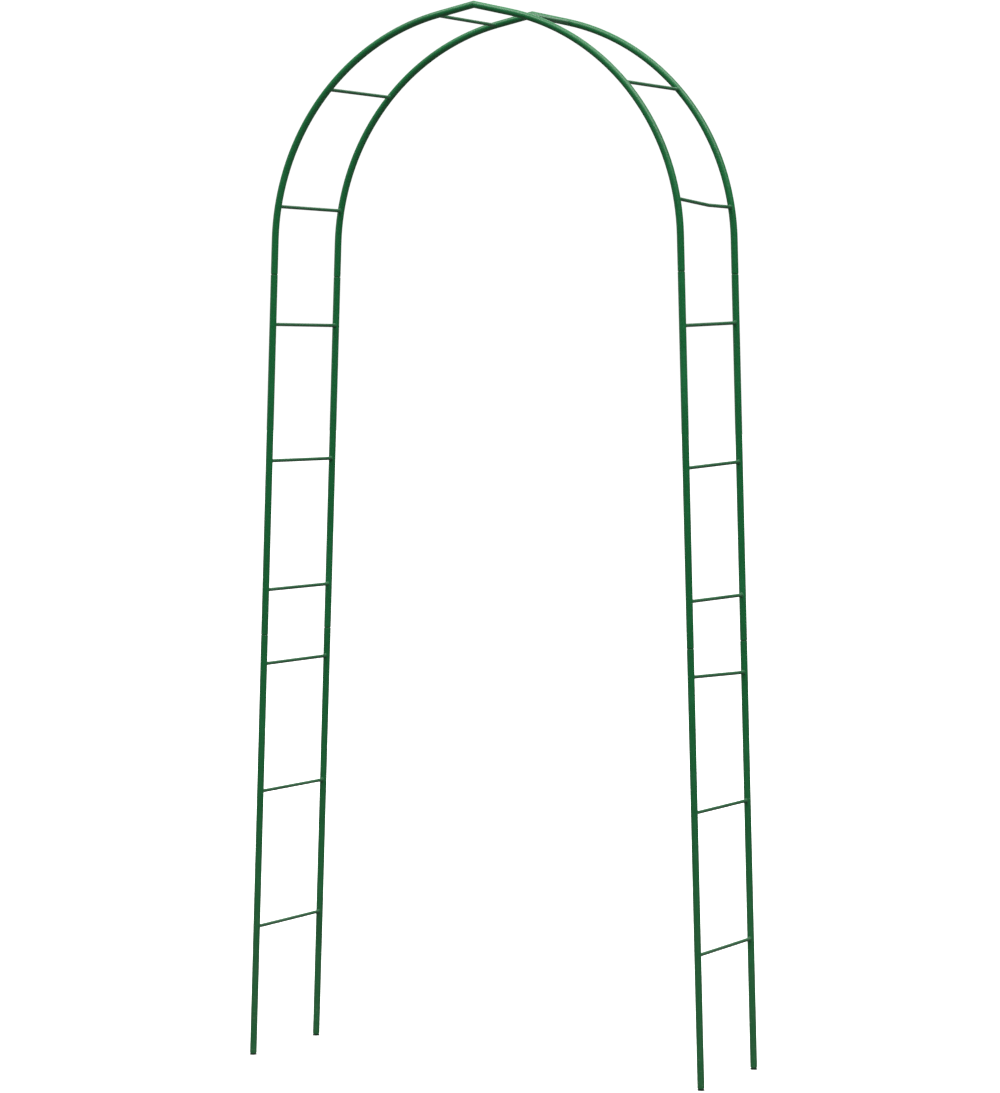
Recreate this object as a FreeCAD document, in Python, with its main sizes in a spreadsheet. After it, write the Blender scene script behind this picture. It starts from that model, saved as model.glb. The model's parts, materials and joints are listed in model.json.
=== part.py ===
"""Knock-down garden arch of round steel tube, as a parametric FreeCAD document.

Two tube arches, one in front and one behind, are joined by short round rungs.  The arch
comes apart into six ladder sections: a lower leg, a middle leg and half of the curved
top on each side.  Each section has a reduced spigot at its lower end that plugs into the
open top of the section below it.  The two halves of the top meet in a low point, on a
bent pin inside the tubes.

Units are millimetres.  X runs across the opening, Y from front to back and Z upwards.
The origin is on the ground, in the middle of the four feet.
"""
import FreeCAD, Part
import math
import os
import Sketcher

SIZES = [
    ("tube_od", 16.0, "outside diameter of every arch and leg tube"),
    ("tube_wall", 1.4, "wall of the tubes"),
    ("rung_diameter", 8.0, "round bar of the rungs"),
    ("arch_pitch", 312.0, "front tube axis to back tube axis"),
    ("overall_height", 2400.0, "ground to the highest point of the top"),
    ("foot_half_width", 558.0, "middle of the arch to a leg axis, on the ground"),
    ("leg_lean", 1.75, "lean of the legs towards each other, in degrees"),
    ("lower_joint", 970.0, "ground to the lower plug joint, along the leg"),
    ("upper_joint", 1795.0, "ground to the upper plug joint, along the leg"),
    ("bend_radius", 527.0, "radius of the curved top, on the tube axis"),
    ("apex_tilt", 12.5, "rise of each tube where the two halves meet, in degrees"),
    ("apex_gap", 0.3, "space left between the two mitred tube ends at the top"),
    ("spigot_length", 35.0, "reduced end below the joint"),
    ("spigot_clearance", 0.1, "radial play of a spigot in the tube that holds it"),
    ("spigot_lead", 2.0, "length of the taper at the tip of a spigot"),
    ("tip_reduction", 0.8, "how much that taper takes off the radius"),
    ("shoulder_height", 2.6, "height of the shoulder between the spigot and the full tube"),
    ("shoulder_round", 2.5, "rounding where the shoulder meets the full tube"),
    ("collar_height", 10.0, "straight tube above the joint before the long sweep starts"),
    ("rim_round", 0.6, "rounded outer edge of an open tube end"),
    ("plug_head", 5.0, "height of a foot plug below the tube end"),
    ("plug_round", 2.2, "rounded lower edge of a foot plug"),
    ("plug_sink", 0.3, "how far the plug is made over length, before its sole is cut level"),
    ("plug_depth", 22.0, "how far a foot plug reaches up into its tube"),
    ("plug_bore", 4.6, "radius of the hollow in a foot plug"),
    ("plug_clearance", 0.05, "radial play of a foot plug in its tube"),
    ("pin_leg", 30.0, "length of each half of the bent pin at the top"),
    ("pin_bend", 8.0, "radius of the pin's bend, on its axis"),
    ("dent_depth", 4.6, "how far the bent rung is pushed down"),
    ("dent_place", 177.0, "front tube axis to the bend in the bent rung"),
    ("dent_radius", 40.0, "radius of that bend"),
]

# Height of each rung above the bottom of its section, measured along the tube.
RUNG_HEIGHTS = {
    "lower": (297.0, 610.0, 904.0),
    "middle": (104.0, 400.0, 712.0),
    "arch": (156.0, 452.0, 770.0),
}

# Rungs that were welded on out of level: how much higher the front end is than the back.
RUNG_TILTS = {
    "right_lower_rung_3": 9.0,
    "right_middle_rung_2": -8.0,
    "right_middle_rung_3": -9.0,
    "right_arch_rung_1": 9.0,
}
BENT_RUNG = "right_arch_rung_1"

SIDES = {"left": -1, "right": 1}
ROWS = {"front": -1, "back": 1}
Y_AXIS = FreeCAD.Vector(0, 1, 0)
Z_AXIS = FreeCAD.Vector(0, 0, 1)

# Expressions that several sub-parts share.
OUTER = "Sizes.tube_od / 2"
BORE = "(Sizes.tube_od / 2 - Sizes.tube_wall)"
SPIGOT = "(Sizes.tube_od / 2 - Sizes.tube_wall - Sizes.spigot_clearance)"
SPIGOT_BORE = "(Sizes.tube_od / 2 - 2 * Sizes.tube_wall - Sizes.spigot_clearance)"

doc = FreeCAD.newDocument("TrellisArch")
sheet = doc.addObject("Spreadsheet::Sheet", "Sizes")
nodes = []


def fill_sheet():
    """Write every driving dimension into the spreadsheet and give it its alias."""
    for row, (alias, value, meaning) in enumerate(SIZES, start=1):
        sheet.set(f"A{row}", meaning)
        sheet.set(f"B{row}", str(value))
        sheet.setAlias(f"B{row}", alias)
    row = len(SIZES)
    for section, heights in RUNG_HEIGHTS.items():
        for number, height in enumerate(heights, start=1):
            row += 1
            sheet.set(f"A{row}", f"rung {number} of a {section} section, up from its lower end")
            sheet.set(f"B{row}", str(height))
            sheet.setAlias(f"B{row}", f"{section}_rung_{number}_height")
    for rung, tilt in RUNG_TILTS.items():
        row += 1
        sheet.set(f"A{row}", f"{rung}: front end higher than the back end by this much")
        sheet.set(f"B{row}", str(tilt))
        sheet.setAlias(f"B{row}", f"{rung}_tilt")
    doc.recompute()


def size(alias):
    """Value of one cell of the spreadsheet."""
    return float(sheet.get(alias))


def worked_out(expression):
    """Number that an expression gives with the present sizes."""
    value = sheet.evalExpression(expression)
    return float(getattr(value, "Value", value))


# --- small helpers for bodies and sketches ---------------------------------------------

def new_body(label):
    """Empty body that becomes one node."""
    body = doc.addObject("PartDesign::Body", label)
    body.Label = label
    nodes.append(body)
    return body


def new_sketch(body, name, role):
    """Sketch on one of the body's own origin planes."""
    plane = next(item for item in body.Origin.OriginFeatures if item.Role == role)
    sketch = body.newObject("Sketcher::SketchObject", name)
    sketch.AttachmentSupport = [(plane, "")]
    sketch.MapMode = "FlatFace"
    return sketch


def bind(sketch, constraint, expression):
    """Add a named dimension to a sketch and tie it to the spreadsheet."""
    index = sketch.addConstraint(constraint)
    sketch.renameConstraint(index, f"size_{index}")
    sketch.setExpression(f"Constraints.size_{index}", expression)


def pin_point(sketch, geometry, end, across, up):
    """Hold one end of a line at a place given by two expressions, measured from the origin."""
    for kind, axis, expression in (("DistanceX", -2, across), ("DistanceY", -1, up)):
        if expression == "0":
            sketch.addConstraint(Sketcher.Constraint("PointOnObject", geometry, end, axis))
        else:
            start = Sketcher.Constraint(kind, -1, 1, geometry, end, worked_out(expression))
            bind(sketch, start, expression)


def slope_line(sketch, geometry, expression):
    """Give a line its direction, as an angle in degrees from the sketch's X axis."""
    angle = math.radians(worked_out(expression))
    bind(sketch, Sketcher.Constraint("Angle", geometry, angle), expression)


def join_tangent(sketch):
    """Join the three stretches of a path, line, arc and line, so that each runs into the next."""
    sketch.addConstraint(Sketcher.Constraint("Tangent", 0, 2, 1, 2))
    sketch.addConstraint(Sketcher.Constraint("Tangent", 1, 1, 2, 1))


def outline(body, name, corners):
    """Closed outline of straight lines in the body's XZ plane, from pairs of expressions."""
    sketch = new_sketch(body, name, "XZ_Plane")
    points = [FreeCAD.Vector(worked_out(across), worked_out(up), 0) for across, up in corners]
    count = len(corners)
    for index, point in enumerate(points):
        sketch.addGeometry(Part.LineSegment(point, points[(index + 1) % count]), False)
    for index in range(count):
        following = (index + 1) % count
        sketch.addConstraint(Sketcher.Constraint("Coincident", index, 2, following, 1))
    for index, (across, up) in enumerate(corners):
        pin_point(sketch, index, 1, across, up)
    return sketch


def circle(sketch, across, up, radius):
    """Circle whose centre and radius are expressions."""
    centre = FreeCAD.Vector(worked_out(across), worked_out(up), 0)
    index = sketch.addGeometry(Part.Circle(centre, Z_AXIS, worked_out(radius)), False)
    pin_point(sketch, index, 3, across, up)
    bind(sketch, Sketcher.Constraint("Radius", index, worked_out(radius)), radius)


def revolve(body, name, corners):
    """Solid of revolution about the body's Z axis."""
    profile = outline(body, f"{name}_outline", corners)
    turned = body.newObject("PartDesign::Revolution", name)
    turned.Profile = profile
    turned.ReferenceAxis = (profile, ["V_Axis"])
    turned.Angle = 360
    profile.Visibility = False
    doc.recompute()
    return turned


def sweep(body, name, profile, path):
    """Round section carried along a path sketch."""
    pipe = body.newObject("PartDesign::AdditivePipe", name)
    pipe.Profile = profile
    pipe.Spine = (path, [f"Edge{number + 1}" for number in range(path.GeometryCount)])
    doc.recompute()
    return pipe


def cut_through(body, sketch, name):
    """Cut a sketch right through a body, both ways from the sketch's plane."""
    before = body.Shape.Volume
    pocket = body.newObject("PartDesign::Pocket", name)
    pocket.Profile = sketch
    pocket.Type = "ThroughAll"
    pocket.Midplane = True
    doc.recompute()
    if not body.Shape.Volume < before:
        raise RuntimeError(f"{body.Label}: {name} removed nothing")


def round_edge(body, name, radius, height, amount):
    """Round the circular edge that has this radius and height in the body's own frame."""
    base = body.Tip
    chosen = []
    for number, edge in enumerate(base.Shape.Edges, start=1):
        box = edge.BoundBox
        flat = box.ZLength < 1e-3 and abs(box.ZMin - worked_out(height)) < 1e-3
        if flat and abs(box.XLength / 2 - worked_out(radius)) < 1e-3:
            chosen.append(f"Edge{number}")
    if not chosen:
        raise RuntimeError(f"{body.Label}: no edge to round for {name}")
    fillet = body.newObject("PartDesign::Fillet", name)
    fillet.Base = (base, chosen)
    fillet.setExpression("Radius", amount)
    doc.recompute()


# --- where things stand ----------------------------------------------------------------

def leg_rotation(side):
    """Turn of a leg: local Z runs up the leg and local X points to the middle of the arch."""
    turn = FreeCAD.Rotation(Z_AXIS, 0 if side == "left" else 180)
    return turn.multiply(FreeCAD.Rotation(Y_AXIS, size("leg_lean")))


def leg_point(side, row, distance):
    """Point on a leg's axis, a distance up from the ground."""
    foot = FreeCAD.Vector(SIDES[side] * size("foot_half_width"), ROWS[row] * size("arch_pitch") / 2, 0)
    return foot + leg_rotation(side).multVec(Z_AXIS * distance)


def stand_on_leg(body, side, row, distance):
    """Stand a body on a leg's axis, a distance up from the ground."""
    body.Placement = FreeCAD.Placement(leg_point(side, row, distance), leg_rotation(side))


def along_arch(straight, distance):
    """Place and direction at a distance along the half arch, in the tube's own XZ plane.

    straight is the length of the straight stretch that comes before the bend.
    """
    radius = size("bend_radius")
    turn = max(0.0, (distance - straight) / radius)
    turn = min(turn, math.radians(90 - size("leg_lean") - size("apex_tilt")))
    rest = distance - turn * radius
    bend = FreeCAD.Vector(radius * (1 - math.cos(turn)), 0, radius * math.sin(turn))
    direction = FreeCAD.Vector(math.sin(turn), 0, math.cos(turn))
    if turn == 0:
        return direction * distance, direction
    return Z_AXIS * straight + bend + direction * (rest - straight), direction


# --- sub-parts -------------------------------------------------------------------------

def spigot_end(body, name, top, rounded_rim):
    """Reduced spigot, its shoulder and the tube above it, up to the expression top.

    The body's origin is the tip of the spigot, so the joint lies one spigot length above it.
    """
    joint = "Sizes.spigot_length"
    shoulder = f"{joint} + Sizes.shoulder_height"
    corners = [
        (SPIGOT_BORE, "0"),
        (f"{SPIGOT} - Sizes.tip_reduction", "0"),
        (SPIGOT, "Sizes.spigot_lead"),
        (SPIGOT, joint),
        (OUTER, shoulder),
        (OUTER, top),
        (BORE, top),
        (BORE, f"{shoulder} + Sizes.tube_wall"),
        (SPIGOT_BORE, f"{joint} + Sizes.tube_wall"),
    ]
    revolve(body, name, corners)
    round_edge(body, "shoulder_rounding", OUTER, shoulder, "Sizes.shoulder_round")
    if rounded_rim:
        round_edge(body, "rim_rounding", OUTER, top, "Sizes.rim_round")


def lower_tube(side, row):
    """Lowest tube of a leg: a plain length that stands on its foot plug."""
    body = new_body(f"{side}_lower_{row}_tube")
    length = "Sizes.lower_joint - Sizes.plug_head"
    revolve(body, "tube", [(BORE, "0"), (OUTER, "0"), (OUTER, length), (BORE, length)])
    round_edge(body, "rim_rounding", OUTER, length, "Sizes.rim_round")
    stand_on_leg(body, side, row, size("plug_head"))


def middle_tube(side, row):
    """Middle tube of a leg: a spigot below and an open end above."""
    body = new_body(f"{side}_middle_{row}_tube")
    top = "Sizes.upper_joint - Sizes.lower_joint + Sizes.spigot_length"
    spigot_end(body, "tube", top, rounded_rim=True)
    stand_on_leg(body, side, row, size("lower_joint") - size("spigot_length"))


def in_arch_tube(past_mitre, height):
    """Point of the half arch in its tube's own XZ plane, as two expressions.

    past_mitre is how far the point lies beyond the mitre and height is its height above
    the ground.
    """
    reach = "(Sizes.foot_half_width - Sizes.upper_joint * sin(Sizes.leg_lean)"
    reach += f" - Sizes.apex_gap / 2 + {past_mitre})"
    rise = f"({height} - Sizes.upper_joint * cos(Sizes.leg_lean))"
    across = f"{reach} * cos(Sizes.leg_lean) - {rise} * sin(Sizes.leg_lean)"
    up = f"{reach} * sin(Sizes.leg_lean) + {rise} * cos(Sizes.leg_lean) + Sizes.spigot_length"
    return across, up


def arch_path(body):
    """Axis of the half arch above its collar: straight, then bent, then straight to the top.

    The straight lengths follow from where the tube starts and where its end has to be,
    which is a little beyond the mitre.
    """
    sketch = new_sketch(body, "path", "XZ_Plane")
    start = "Sizes.spigot_length + Sizes.collar_height"
    spare = "Sizes.tube_od * sin(Sizes.apex_tilt)"
    height = "(Sizes.overall_height - Sizes.tube_od / 2 / cos(Sizes.apex_tilt)"
    height += f" + {spare} * tan(Sizes.apex_tilt))"
    end_across, end_up = in_arch_tube(spare, height)
    turn = "90 - Sizes.leg_lean - Sizes.apex_tilt"

    # First shape for the solver, with the bend starting a little above the collar.
    radius = size("bend_radius")
    bend_start = worked_out(start) + 2 * size("spigot_length")
    angle = math.radians(worked_out(turn))
    centre = FreeCAD.Vector(radius, bend_start, 0)
    bend_end = centre + FreeCAD.Vector(-radius * math.cos(angle), radius * math.sin(angle), 0)
    tube_end = FreeCAD.Vector(worked_out(end_across), worked_out(end_up), 0)
    foot = FreeCAD.Vector(0, worked_out(start), 0)
    bend = Part.ArcOfCircle(Part.Circle(centre, Z_AXIS, radius), math.pi - angle, math.pi)
    sketch.addGeometry(Part.LineSegment(foot, FreeCAD.Vector(0, bend_start, 0)), False)
    sketch.addGeometry(bend, False)
    sketch.addGeometry(Part.LineSegment(bend_end, tube_end), False)

    sketch.addConstraint(Sketcher.Constraint("Vertical", 0))
    join_tangent(sketch)
    slope_line(sketch, 2, "Sizes.leg_lean + Sizes.apex_tilt")
    pin_point(sketch, 0, 1, "0", start)
    bind(sketch, Sketcher.Constraint("Radius", 1, radius), "Sizes.bend_radius")
    pin_point(sketch, 2, 2, end_across, end_up)
    doc.recompute()
    return sketch


def mitre(body):
    """Cut the end of a half arch upright, where it meets the other half."""
    low = "(Sizes.overall_height - 2 * Sizes.tube_od)"
    high = "(Sizes.overall_height + Sizes.tube_od)"
    beyond = "2 * Sizes.tube_od"
    corners = [in_arch_tube("0", low), in_arch_tube(beyond, low),
               in_arch_tube(beyond, high), in_arch_tube("0", high)]
    cut_through(body, outline(body, "beyond_mitre", corners), "mitre")


def arch_tube(side, row):
    """Curved tube of the top, from its spigot to the mitred end at the high point."""
    body = new_body(f"{side}_arch_{row}_tube")
    collar = "Sizes.spigot_length + Sizes.collar_height"
    spigot_end(body, "collar", collar, rounded_rim=False)
    path = arch_path(body)
    section = new_sketch(body, "section", "XY_Plane")
    section.setExpression("AttachmentOffset.Base.z", collar)
    circle(section, "0", "0", OUTER)
    circle(section, "0", "0", BORE)
    sweep(body, "bend", section, path)
    mitre(body)
    stand_on_leg(body, side, row, size("upper_joint") - size("spigot_length"))
    return path.Geometry[0].length() + size("collar_height")


def straight_bar(body, tilt):
    """Plain round bar from one tube axis to the other, its front end raised by tilt / 2."""
    section = new_sketch(body, "section", "XY_Plane")
    circle(section, f"{tilt} / 2" if tilt != "0" else "0", "0", "Sizes.rung_diameter / 2")
    bar = body.newObject("PartDesign::Pad", "bar")
    bar.Profile = section
    bar.setExpression("Length", "Sizes.arch_pitch")
    bar.UseCustomVector = True
    bar.Direction = FreeCAD.Vector(-worked_out(tilt), 0, size("arch_pitch"))
    bar.AlongSketchNormal = True
    doc.recompute()


def dented_bar(body, tilt):
    """Round bar whose ends are raised and lowered by tilt / 2, with one kink pushed down."""
    pitch = size("arch_pitch")
    radius = size("dent_radius")
    drop_front = f"({tilt} / 2 + Sizes.dent_depth)"
    drop_back = f"(Sizes.dent_depth - {tilt} / 2)"
    front = FreeCAD.Vector(worked_out(tilt) / 2, 0, 0)
    kink = FreeCAD.Vector(-size("dent_depth"), size("dent_place"), 0)
    back = FreeCAD.Vector(-worked_out(tilt) / 2, pitch, 0)
    first = (kink - front).normalize()
    second = (back - kink).normalize()
    half_turn = first.getAngle(second) / 2
    setback = radius * math.tan(half_turn)
    inward = FreeCAD.Vector(first.y, -first.x, 0)
    centre = kink - first * setback + inward * radius
    begin = math.atan2(-inward.y, -inward.x)
    path = new_sketch(body, "path", "XZ_Plane")
    path.addGeometry(Part.LineSegment(front, kink - first * setback), False)
    bend = Part.Circle(centre, Z_AXIS, radius)
    path.addGeometry(Part.ArcOfCircle(bend, begin - 2 * half_turn, begin), False)
    path.addGeometry(Part.LineSegment(kink + second * setback, back), False)
    join_tangent(path)
    pin_point(path, 0, 1, f"{tilt} / 2", "0")
    pin_point(path, 2, 2, f"-{tilt} / 2", "Sizes.arch_pitch")
    bind(path, Sketcher.Constraint("Radius", 1, radius), "Sizes.dent_radius")
    slope_line(path, 0, f"90 deg + atan({drop_front} / Sizes.dent_place)")
    slope_line(path, 2, f"90 deg - atan({drop_back} / (Sizes.arch_pitch - Sizes.dent_place))")
    section = new_sketch(body, "section", "XY_Plane")
    circle(section, f"{tilt} / 2", "0", "Sizes.rung_diameter / 2")
    sweep(body, "bar", section, path)


def saddle_ends(body):
    """Cut both ends of a bar to the round of the tubes they are welded to."""
    cut = new_sketch(body, "saddles", "YZ_Plane")
    circle(cut, "0", "0", OUTER)
    circle(cut, "0", "Sizes.arch_pitch", OUTER)
    cut_through(body, cut, "saddle_cuts")


def rung(side, section, number, front, direction):
    """One rung, from the front tube to the back tube.

    front is the point on the front tube's axis and direction runs along that tube.
    """
    label = f"{side}_{section}_rung_{number}"
    body = new_body(label)
    tilt = f"Sizes.{label}_tilt" if label in RUNG_TILTS else "0"
    if label == BENT_RUNG:
        dented_bar(body, tilt)
    else:
        straight_bar(body, tilt)
    saddle_ends(body)
    turn = FreeCAD.Rotation(direction, FreeCAD.Vector(), Y_AXIS, "ZXY")
    body.Placement = FreeCAD.Placement(front, turn)


def section_rungs(side, section, straight):
    """The three rungs of one ladder section."""
    turn = leg_rotation(side)
    for number in range(1, len(RUNG_HEIGHTS[section]) + 1):
        height = size(f"{section}_rung_{number}_height")
        if section == "arch":
            place, direction = along_arch(straight, height)
            front = leg_point(side, "front", size("upper_joint")) + turn.multVec(place)
            direction = turn.multVec(direction)
        else:
            base = 0.0 if section == "lower" else size("lower_joint")
            front = leg_point(side, "front", base + height)
            direction = turn.multVec(Z_AXIS)
        rung(side, section, number, front, direction)


def foot_plug(side, row):
    """Plug in the bottom of a leg, with a hollow stem and a sole cut level with the ground."""
    body = new_body(f"{side}_{row}_foot_plug")
    head = "Sizes.plug_head + Sizes.plug_sink"
    stem = f"{BORE} - Sizes.plug_clearance"
    top = f"{head} + Sizes.plug_depth"
    corners = [("0", "0"), (OUTER, "0"), (OUTER, head), (stem, head), (stem, top),
               ("Sizes.plug_bore", top), ("Sizes.plug_bore", head), ("0", head)]
    revolve(body, "plug", corners)
    round_edge(body, "sole_rounding", OUTER, "0", "Sizes.plug_round")

    # The leaning plug sees the ground rise towards the middle of the arch.
    reach = "Sizes.tube_od"
    rise = f"{reach} * tan(Sizes.leg_lean)"
    corners = [(f"-{reach}", f"Sizes.plug_sink - {rise}"), (reach, f"Sizes.plug_sink + {rise}"),
               (reach, f"-{reach}"), (f"-{reach}", f"-{reach}")]
    cut_through(body, outline(body, "ground", corners), "level_sole")
    stand_on_leg(body, side, row, -size("plug_sink"))


def apex_pin(row):
    """Bent pin that holds the two halves of the top together, inside the tube ends."""
    body = new_body(f"{row}_apex_pin")
    tilt = math.radians(size("apex_tilt"))
    down = FreeCAD.Vector(math.cos(tilt), -math.sin(tilt), 0)
    setback = size("pin_bend") * math.tan(tilt)
    near = down * setback
    far = down * size("pin_leg")
    centre = FreeCAD.Vector(0, -size("pin_bend") / math.cos(tilt), 0)
    path = new_sketch(body, "path", "XZ_Plane")
    left_far = FreeCAD.Vector(-far.x, far.y, 0)
    left_near = FreeCAD.Vector(-near.x, near.y, 0)
    bend = Part.Circle(centre, Z_AXIS, size("pin_bend"))
    path.addGeometry(Part.LineSegment(left_far, left_near), False)
    path.addGeometry(Part.ArcOfCircle(bend, math.pi / 2 - tilt, math.pi / 2 + tilt), False)
    path.addGeometry(Part.LineSegment(near, far), False)
    join_tangent(path)
    bind(path, Sketcher.Constraint("Radius", 1, size("pin_bend")), "Sizes.pin_bend")
    slope_line(path, 0, "Sizes.apex_tilt")
    slope_line(path, 2, "-Sizes.apex_tilt")
    leg_across = "Sizes.pin_leg * cos(Sizes.apex_tilt)"
    leg_down = "-Sizes.pin_leg * sin(Sizes.apex_tilt)"
    pin_point(path, 0, 1, f"-{leg_across}", leg_down)
    pin_point(path, 2, 2, leg_across, leg_down)
    section = body.newObject("Sketcher::SketchObject", "section")
    section.AttachmentSupport = [(path, "Edge1")]
    section.MapMode = "NormalToEdge"
    circle(section, "0", "0", SPIGOT)
    sweep(body, "pin", section, path)
    crossing = size("overall_height") - size("tube_od") / 2 / math.cos(tilt)
    crossing += size("apex_gap") / 2 * math.tan(tilt)
    body.Placement = FreeCAD.Placement(
        FreeCAD.Vector(0, ROWS[row] * size("arch_pitch") / 2, crossing), FreeCAD.Rotation())


def build_arch():
    """Make every sub-part of the arch."""
    for side in SIDES:
        for row in ROWS:
            foot_plug(side, row)
            lower_tube(side, row)
            middle_tube(side, row)
            straight = arch_tube(side, row)
        for section in RUNG_HEIGHTS:
            section_rungs(side, section, straight)
    for row in ROWS:
        apex_pin(row)


def check_document():
    """Stop if any object failed to build or any node has a bad shape."""
    for item in doc.Objects:
        if "Invalid" in item.State or "Error" in item.State:
            raise RuntimeError(f"{item.Label} did not build: {item.State}")
    for body in nodes:
        if body.Shape.isNull() or not body.Shape.isValid() or len(body.Shape.Solids) != 1:
            raise RuntimeError(f"{body.Label} has no valid single solid")


def export_nodes():
    """Write each node's shape to its own STEP file."""
    os.makedirs("parts", exist_ok=True)
    for body in nodes:
        body.Shape.exportStep(f"parts/{body.Label}.step")
        box = body.Shape.BoundBox
        print(f"{body.Label}: volume {body.Shape.Volume / 1000:.2f} cm3, "
              f"z {box.ZMin:.2f} to {box.ZMax:.2f}, x {box.XMin:.2f} to {box.XMax:.2f}")


fill_sheet()
build_arch()
doc.recompute()
check_document()
export_nodes()
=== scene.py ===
"""Looks of a knock-down garden arch: powder-coated tube sections, welded rungs and foot plugs.

Lengths are in metres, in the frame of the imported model: X across the opening, Y from front
to back and Z upwards, with the origin on the ground in the middle of the four feet.
"""
import json
import logging
import math
from abc import ABC, abstractmethod
from collections.abc import Callable, Iterator
from contextlib import contextmanager
from dataclasses import dataclass
from enum import Enum
from typing import ClassVar

import bmesh
import bpy
from mathutils import Matrix, Vector


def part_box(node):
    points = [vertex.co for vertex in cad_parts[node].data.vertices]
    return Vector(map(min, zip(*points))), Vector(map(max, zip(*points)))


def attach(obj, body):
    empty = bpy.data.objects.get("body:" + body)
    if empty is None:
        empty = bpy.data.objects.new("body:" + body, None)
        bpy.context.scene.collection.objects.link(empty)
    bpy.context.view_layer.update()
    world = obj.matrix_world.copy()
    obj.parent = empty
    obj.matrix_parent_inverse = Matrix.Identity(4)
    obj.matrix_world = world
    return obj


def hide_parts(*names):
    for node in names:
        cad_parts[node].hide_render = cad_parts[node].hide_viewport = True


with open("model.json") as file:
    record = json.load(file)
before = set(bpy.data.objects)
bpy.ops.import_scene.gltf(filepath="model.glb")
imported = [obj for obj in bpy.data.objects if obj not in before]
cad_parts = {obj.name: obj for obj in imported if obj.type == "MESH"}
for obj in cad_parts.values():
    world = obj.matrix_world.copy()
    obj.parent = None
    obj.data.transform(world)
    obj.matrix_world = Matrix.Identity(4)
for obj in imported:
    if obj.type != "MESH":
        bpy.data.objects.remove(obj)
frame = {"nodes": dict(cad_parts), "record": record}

Colour = tuple[float, float, float]
Socket = bpy.types.NodeSocket
Feed = Socket | float | tuple[float, ...]

log = logging.getLogger("garden_arch")

NEAR = 1e-5
FLAT = 0.99


class Side(Enum):
    """Left or right half of the arch, with the sign of its X."""

    LEFT = -1
    RIGHT = 1

    @property
    def word(self) -> str:
        """The side's name as it stands in node names."""
        return self.name.lower()


class Row(Enum):
    """Front or back tube of a section, with the sign of its Y."""

    FRONT = -1
    BACK = 1

    @property
    def word(self) -> str:
        """The row's name as it stands in node names."""
        return self.name.lower()


class Section(Enum):
    """One of the three sections that a side comes apart into."""

    LOWER = "lower"
    MIDDLE = "middle"
    ARCH = "arch"


class GrainRun(Enum):
    """Which way the drawing lines of a tube or bar run."""

    ALONG_LEG = "along the leaning leg"
    ALONG_BEND = "along the curved top"
    FRONT_TO_BACK = "from the front tube to the back tube"


RUNGS_PER_SECTION = 3


# --- where things are -------------------------------------------------------------------

@dataclass(frozen=True)
class ArchLayout:
    """Lines and sizes of the arch that its looks are laid out on.

    Args:
        foot_x: middle of the arch to a leg's axis, on the ground.
        row_y: middle of the arch to the axis of the front or the back tubes.
        lean: lean of the legs towards each other, in radians.
        tube_radius: outside radius of the tubes.
        bar_radius: radius of the rungs.
        lower_joint: ground to the lower plug joint, along the leg.
        upper_joint: ground to the upper plug joint, along the leg.
        tube_wall: wall of the tubes.
        bend_radius: radius of the curved top, on the tube's axis.
        straight_end: straight tube from the upper joint to the bend.
    """

    foot_x: float
    row_y: float
    lean: float
    tube_radius: float
    bar_radius: float
    lower_joint: float
    upper_joint: float
    tube_wall: float = 0.0014
    bend_radius: float = 0.527
    straight_end: float = 0.0797

    @classmethod
    def from_frame(cls, record: dict) -> "ArchLayout":
        """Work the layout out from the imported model.

        Args:
            record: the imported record.

        Returns:
            The layout of the arch in its resting pose.
        """
        sole = next(m for m in record["mounts"] if m["name"] == "right_front_sole")["pos_m"]
        joints = {j["name"]: j for j in record["behaviour"]["joints"]}
        lean = math.asin(joints["left_lower_plug_slide"]["axis"][0])
        low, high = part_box("right_lower_front_tube")
        middle_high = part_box("right_middle_front_tube")[1]
        rung_low, rung_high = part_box("right_lower_rung_1")
        radius = (high.y - low.y) / 2
        return cls(
            foot_x=sole[0],
            row_y=-sole[1],
            lean=lean,
            tube_radius=radius,
            bar_radius=(rung_high.z - rung_low.z) / 2,
            lower_joint=(high.z - radius * math.sin(lean)) / math.cos(lean),
            upper_joint=(middle_high.z - radius * math.sin(lean)) / math.cos(lean),
        )

    @property
    def bend_centre(self) -> tuple[float, float]:
        """Centre of the right half's bend.

        Returns:
            Its X and Z.
        """
        along = self.upper_joint + self.straight_end
        start_x = self.foot_x - along * math.sin(self.lean)
        start_z = along * math.cos(self.lean)
        return (
            start_x - self.bend_radius * math.cos(self.lean),
            start_z - self.bend_radius * math.sin(self.lean),
        )

    def tube_direction(self, side: Side, section: Section, x: float, z: float) -> Vector:
        """Direction of a tube's axis, upwards, where a rung meets it.

        Args:
            side: which half of the arch.
            section: which section of that half.
            x: the rung's X.
            z: the rung's Z.

        Returns:
            A unit vector in the XZ plane.
        """
        if section is not Section.ARCH:
            return Vector((-side.value * math.sin(self.lean), 0.0, math.cos(self.lean)))
        centre_x, centre_z = self.bend_centre
        spoke = Vector((x - side.value * centre_x, 0.0, z - centre_z))
        return Vector((-side.value * spoke.z, 0.0, side.value * spoke.x)).normalized()


def node_name(side: Side, section: Section, piece: str) -> str:
    """Name of a tube's or rung's node."""
    return f"{side.word}_{section.value}_{piece}"


def body_name(side: Side, section: Section) -> str:
    """Name of the body that a section is."""
    return f"{side.word}_{section.value}"


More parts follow.
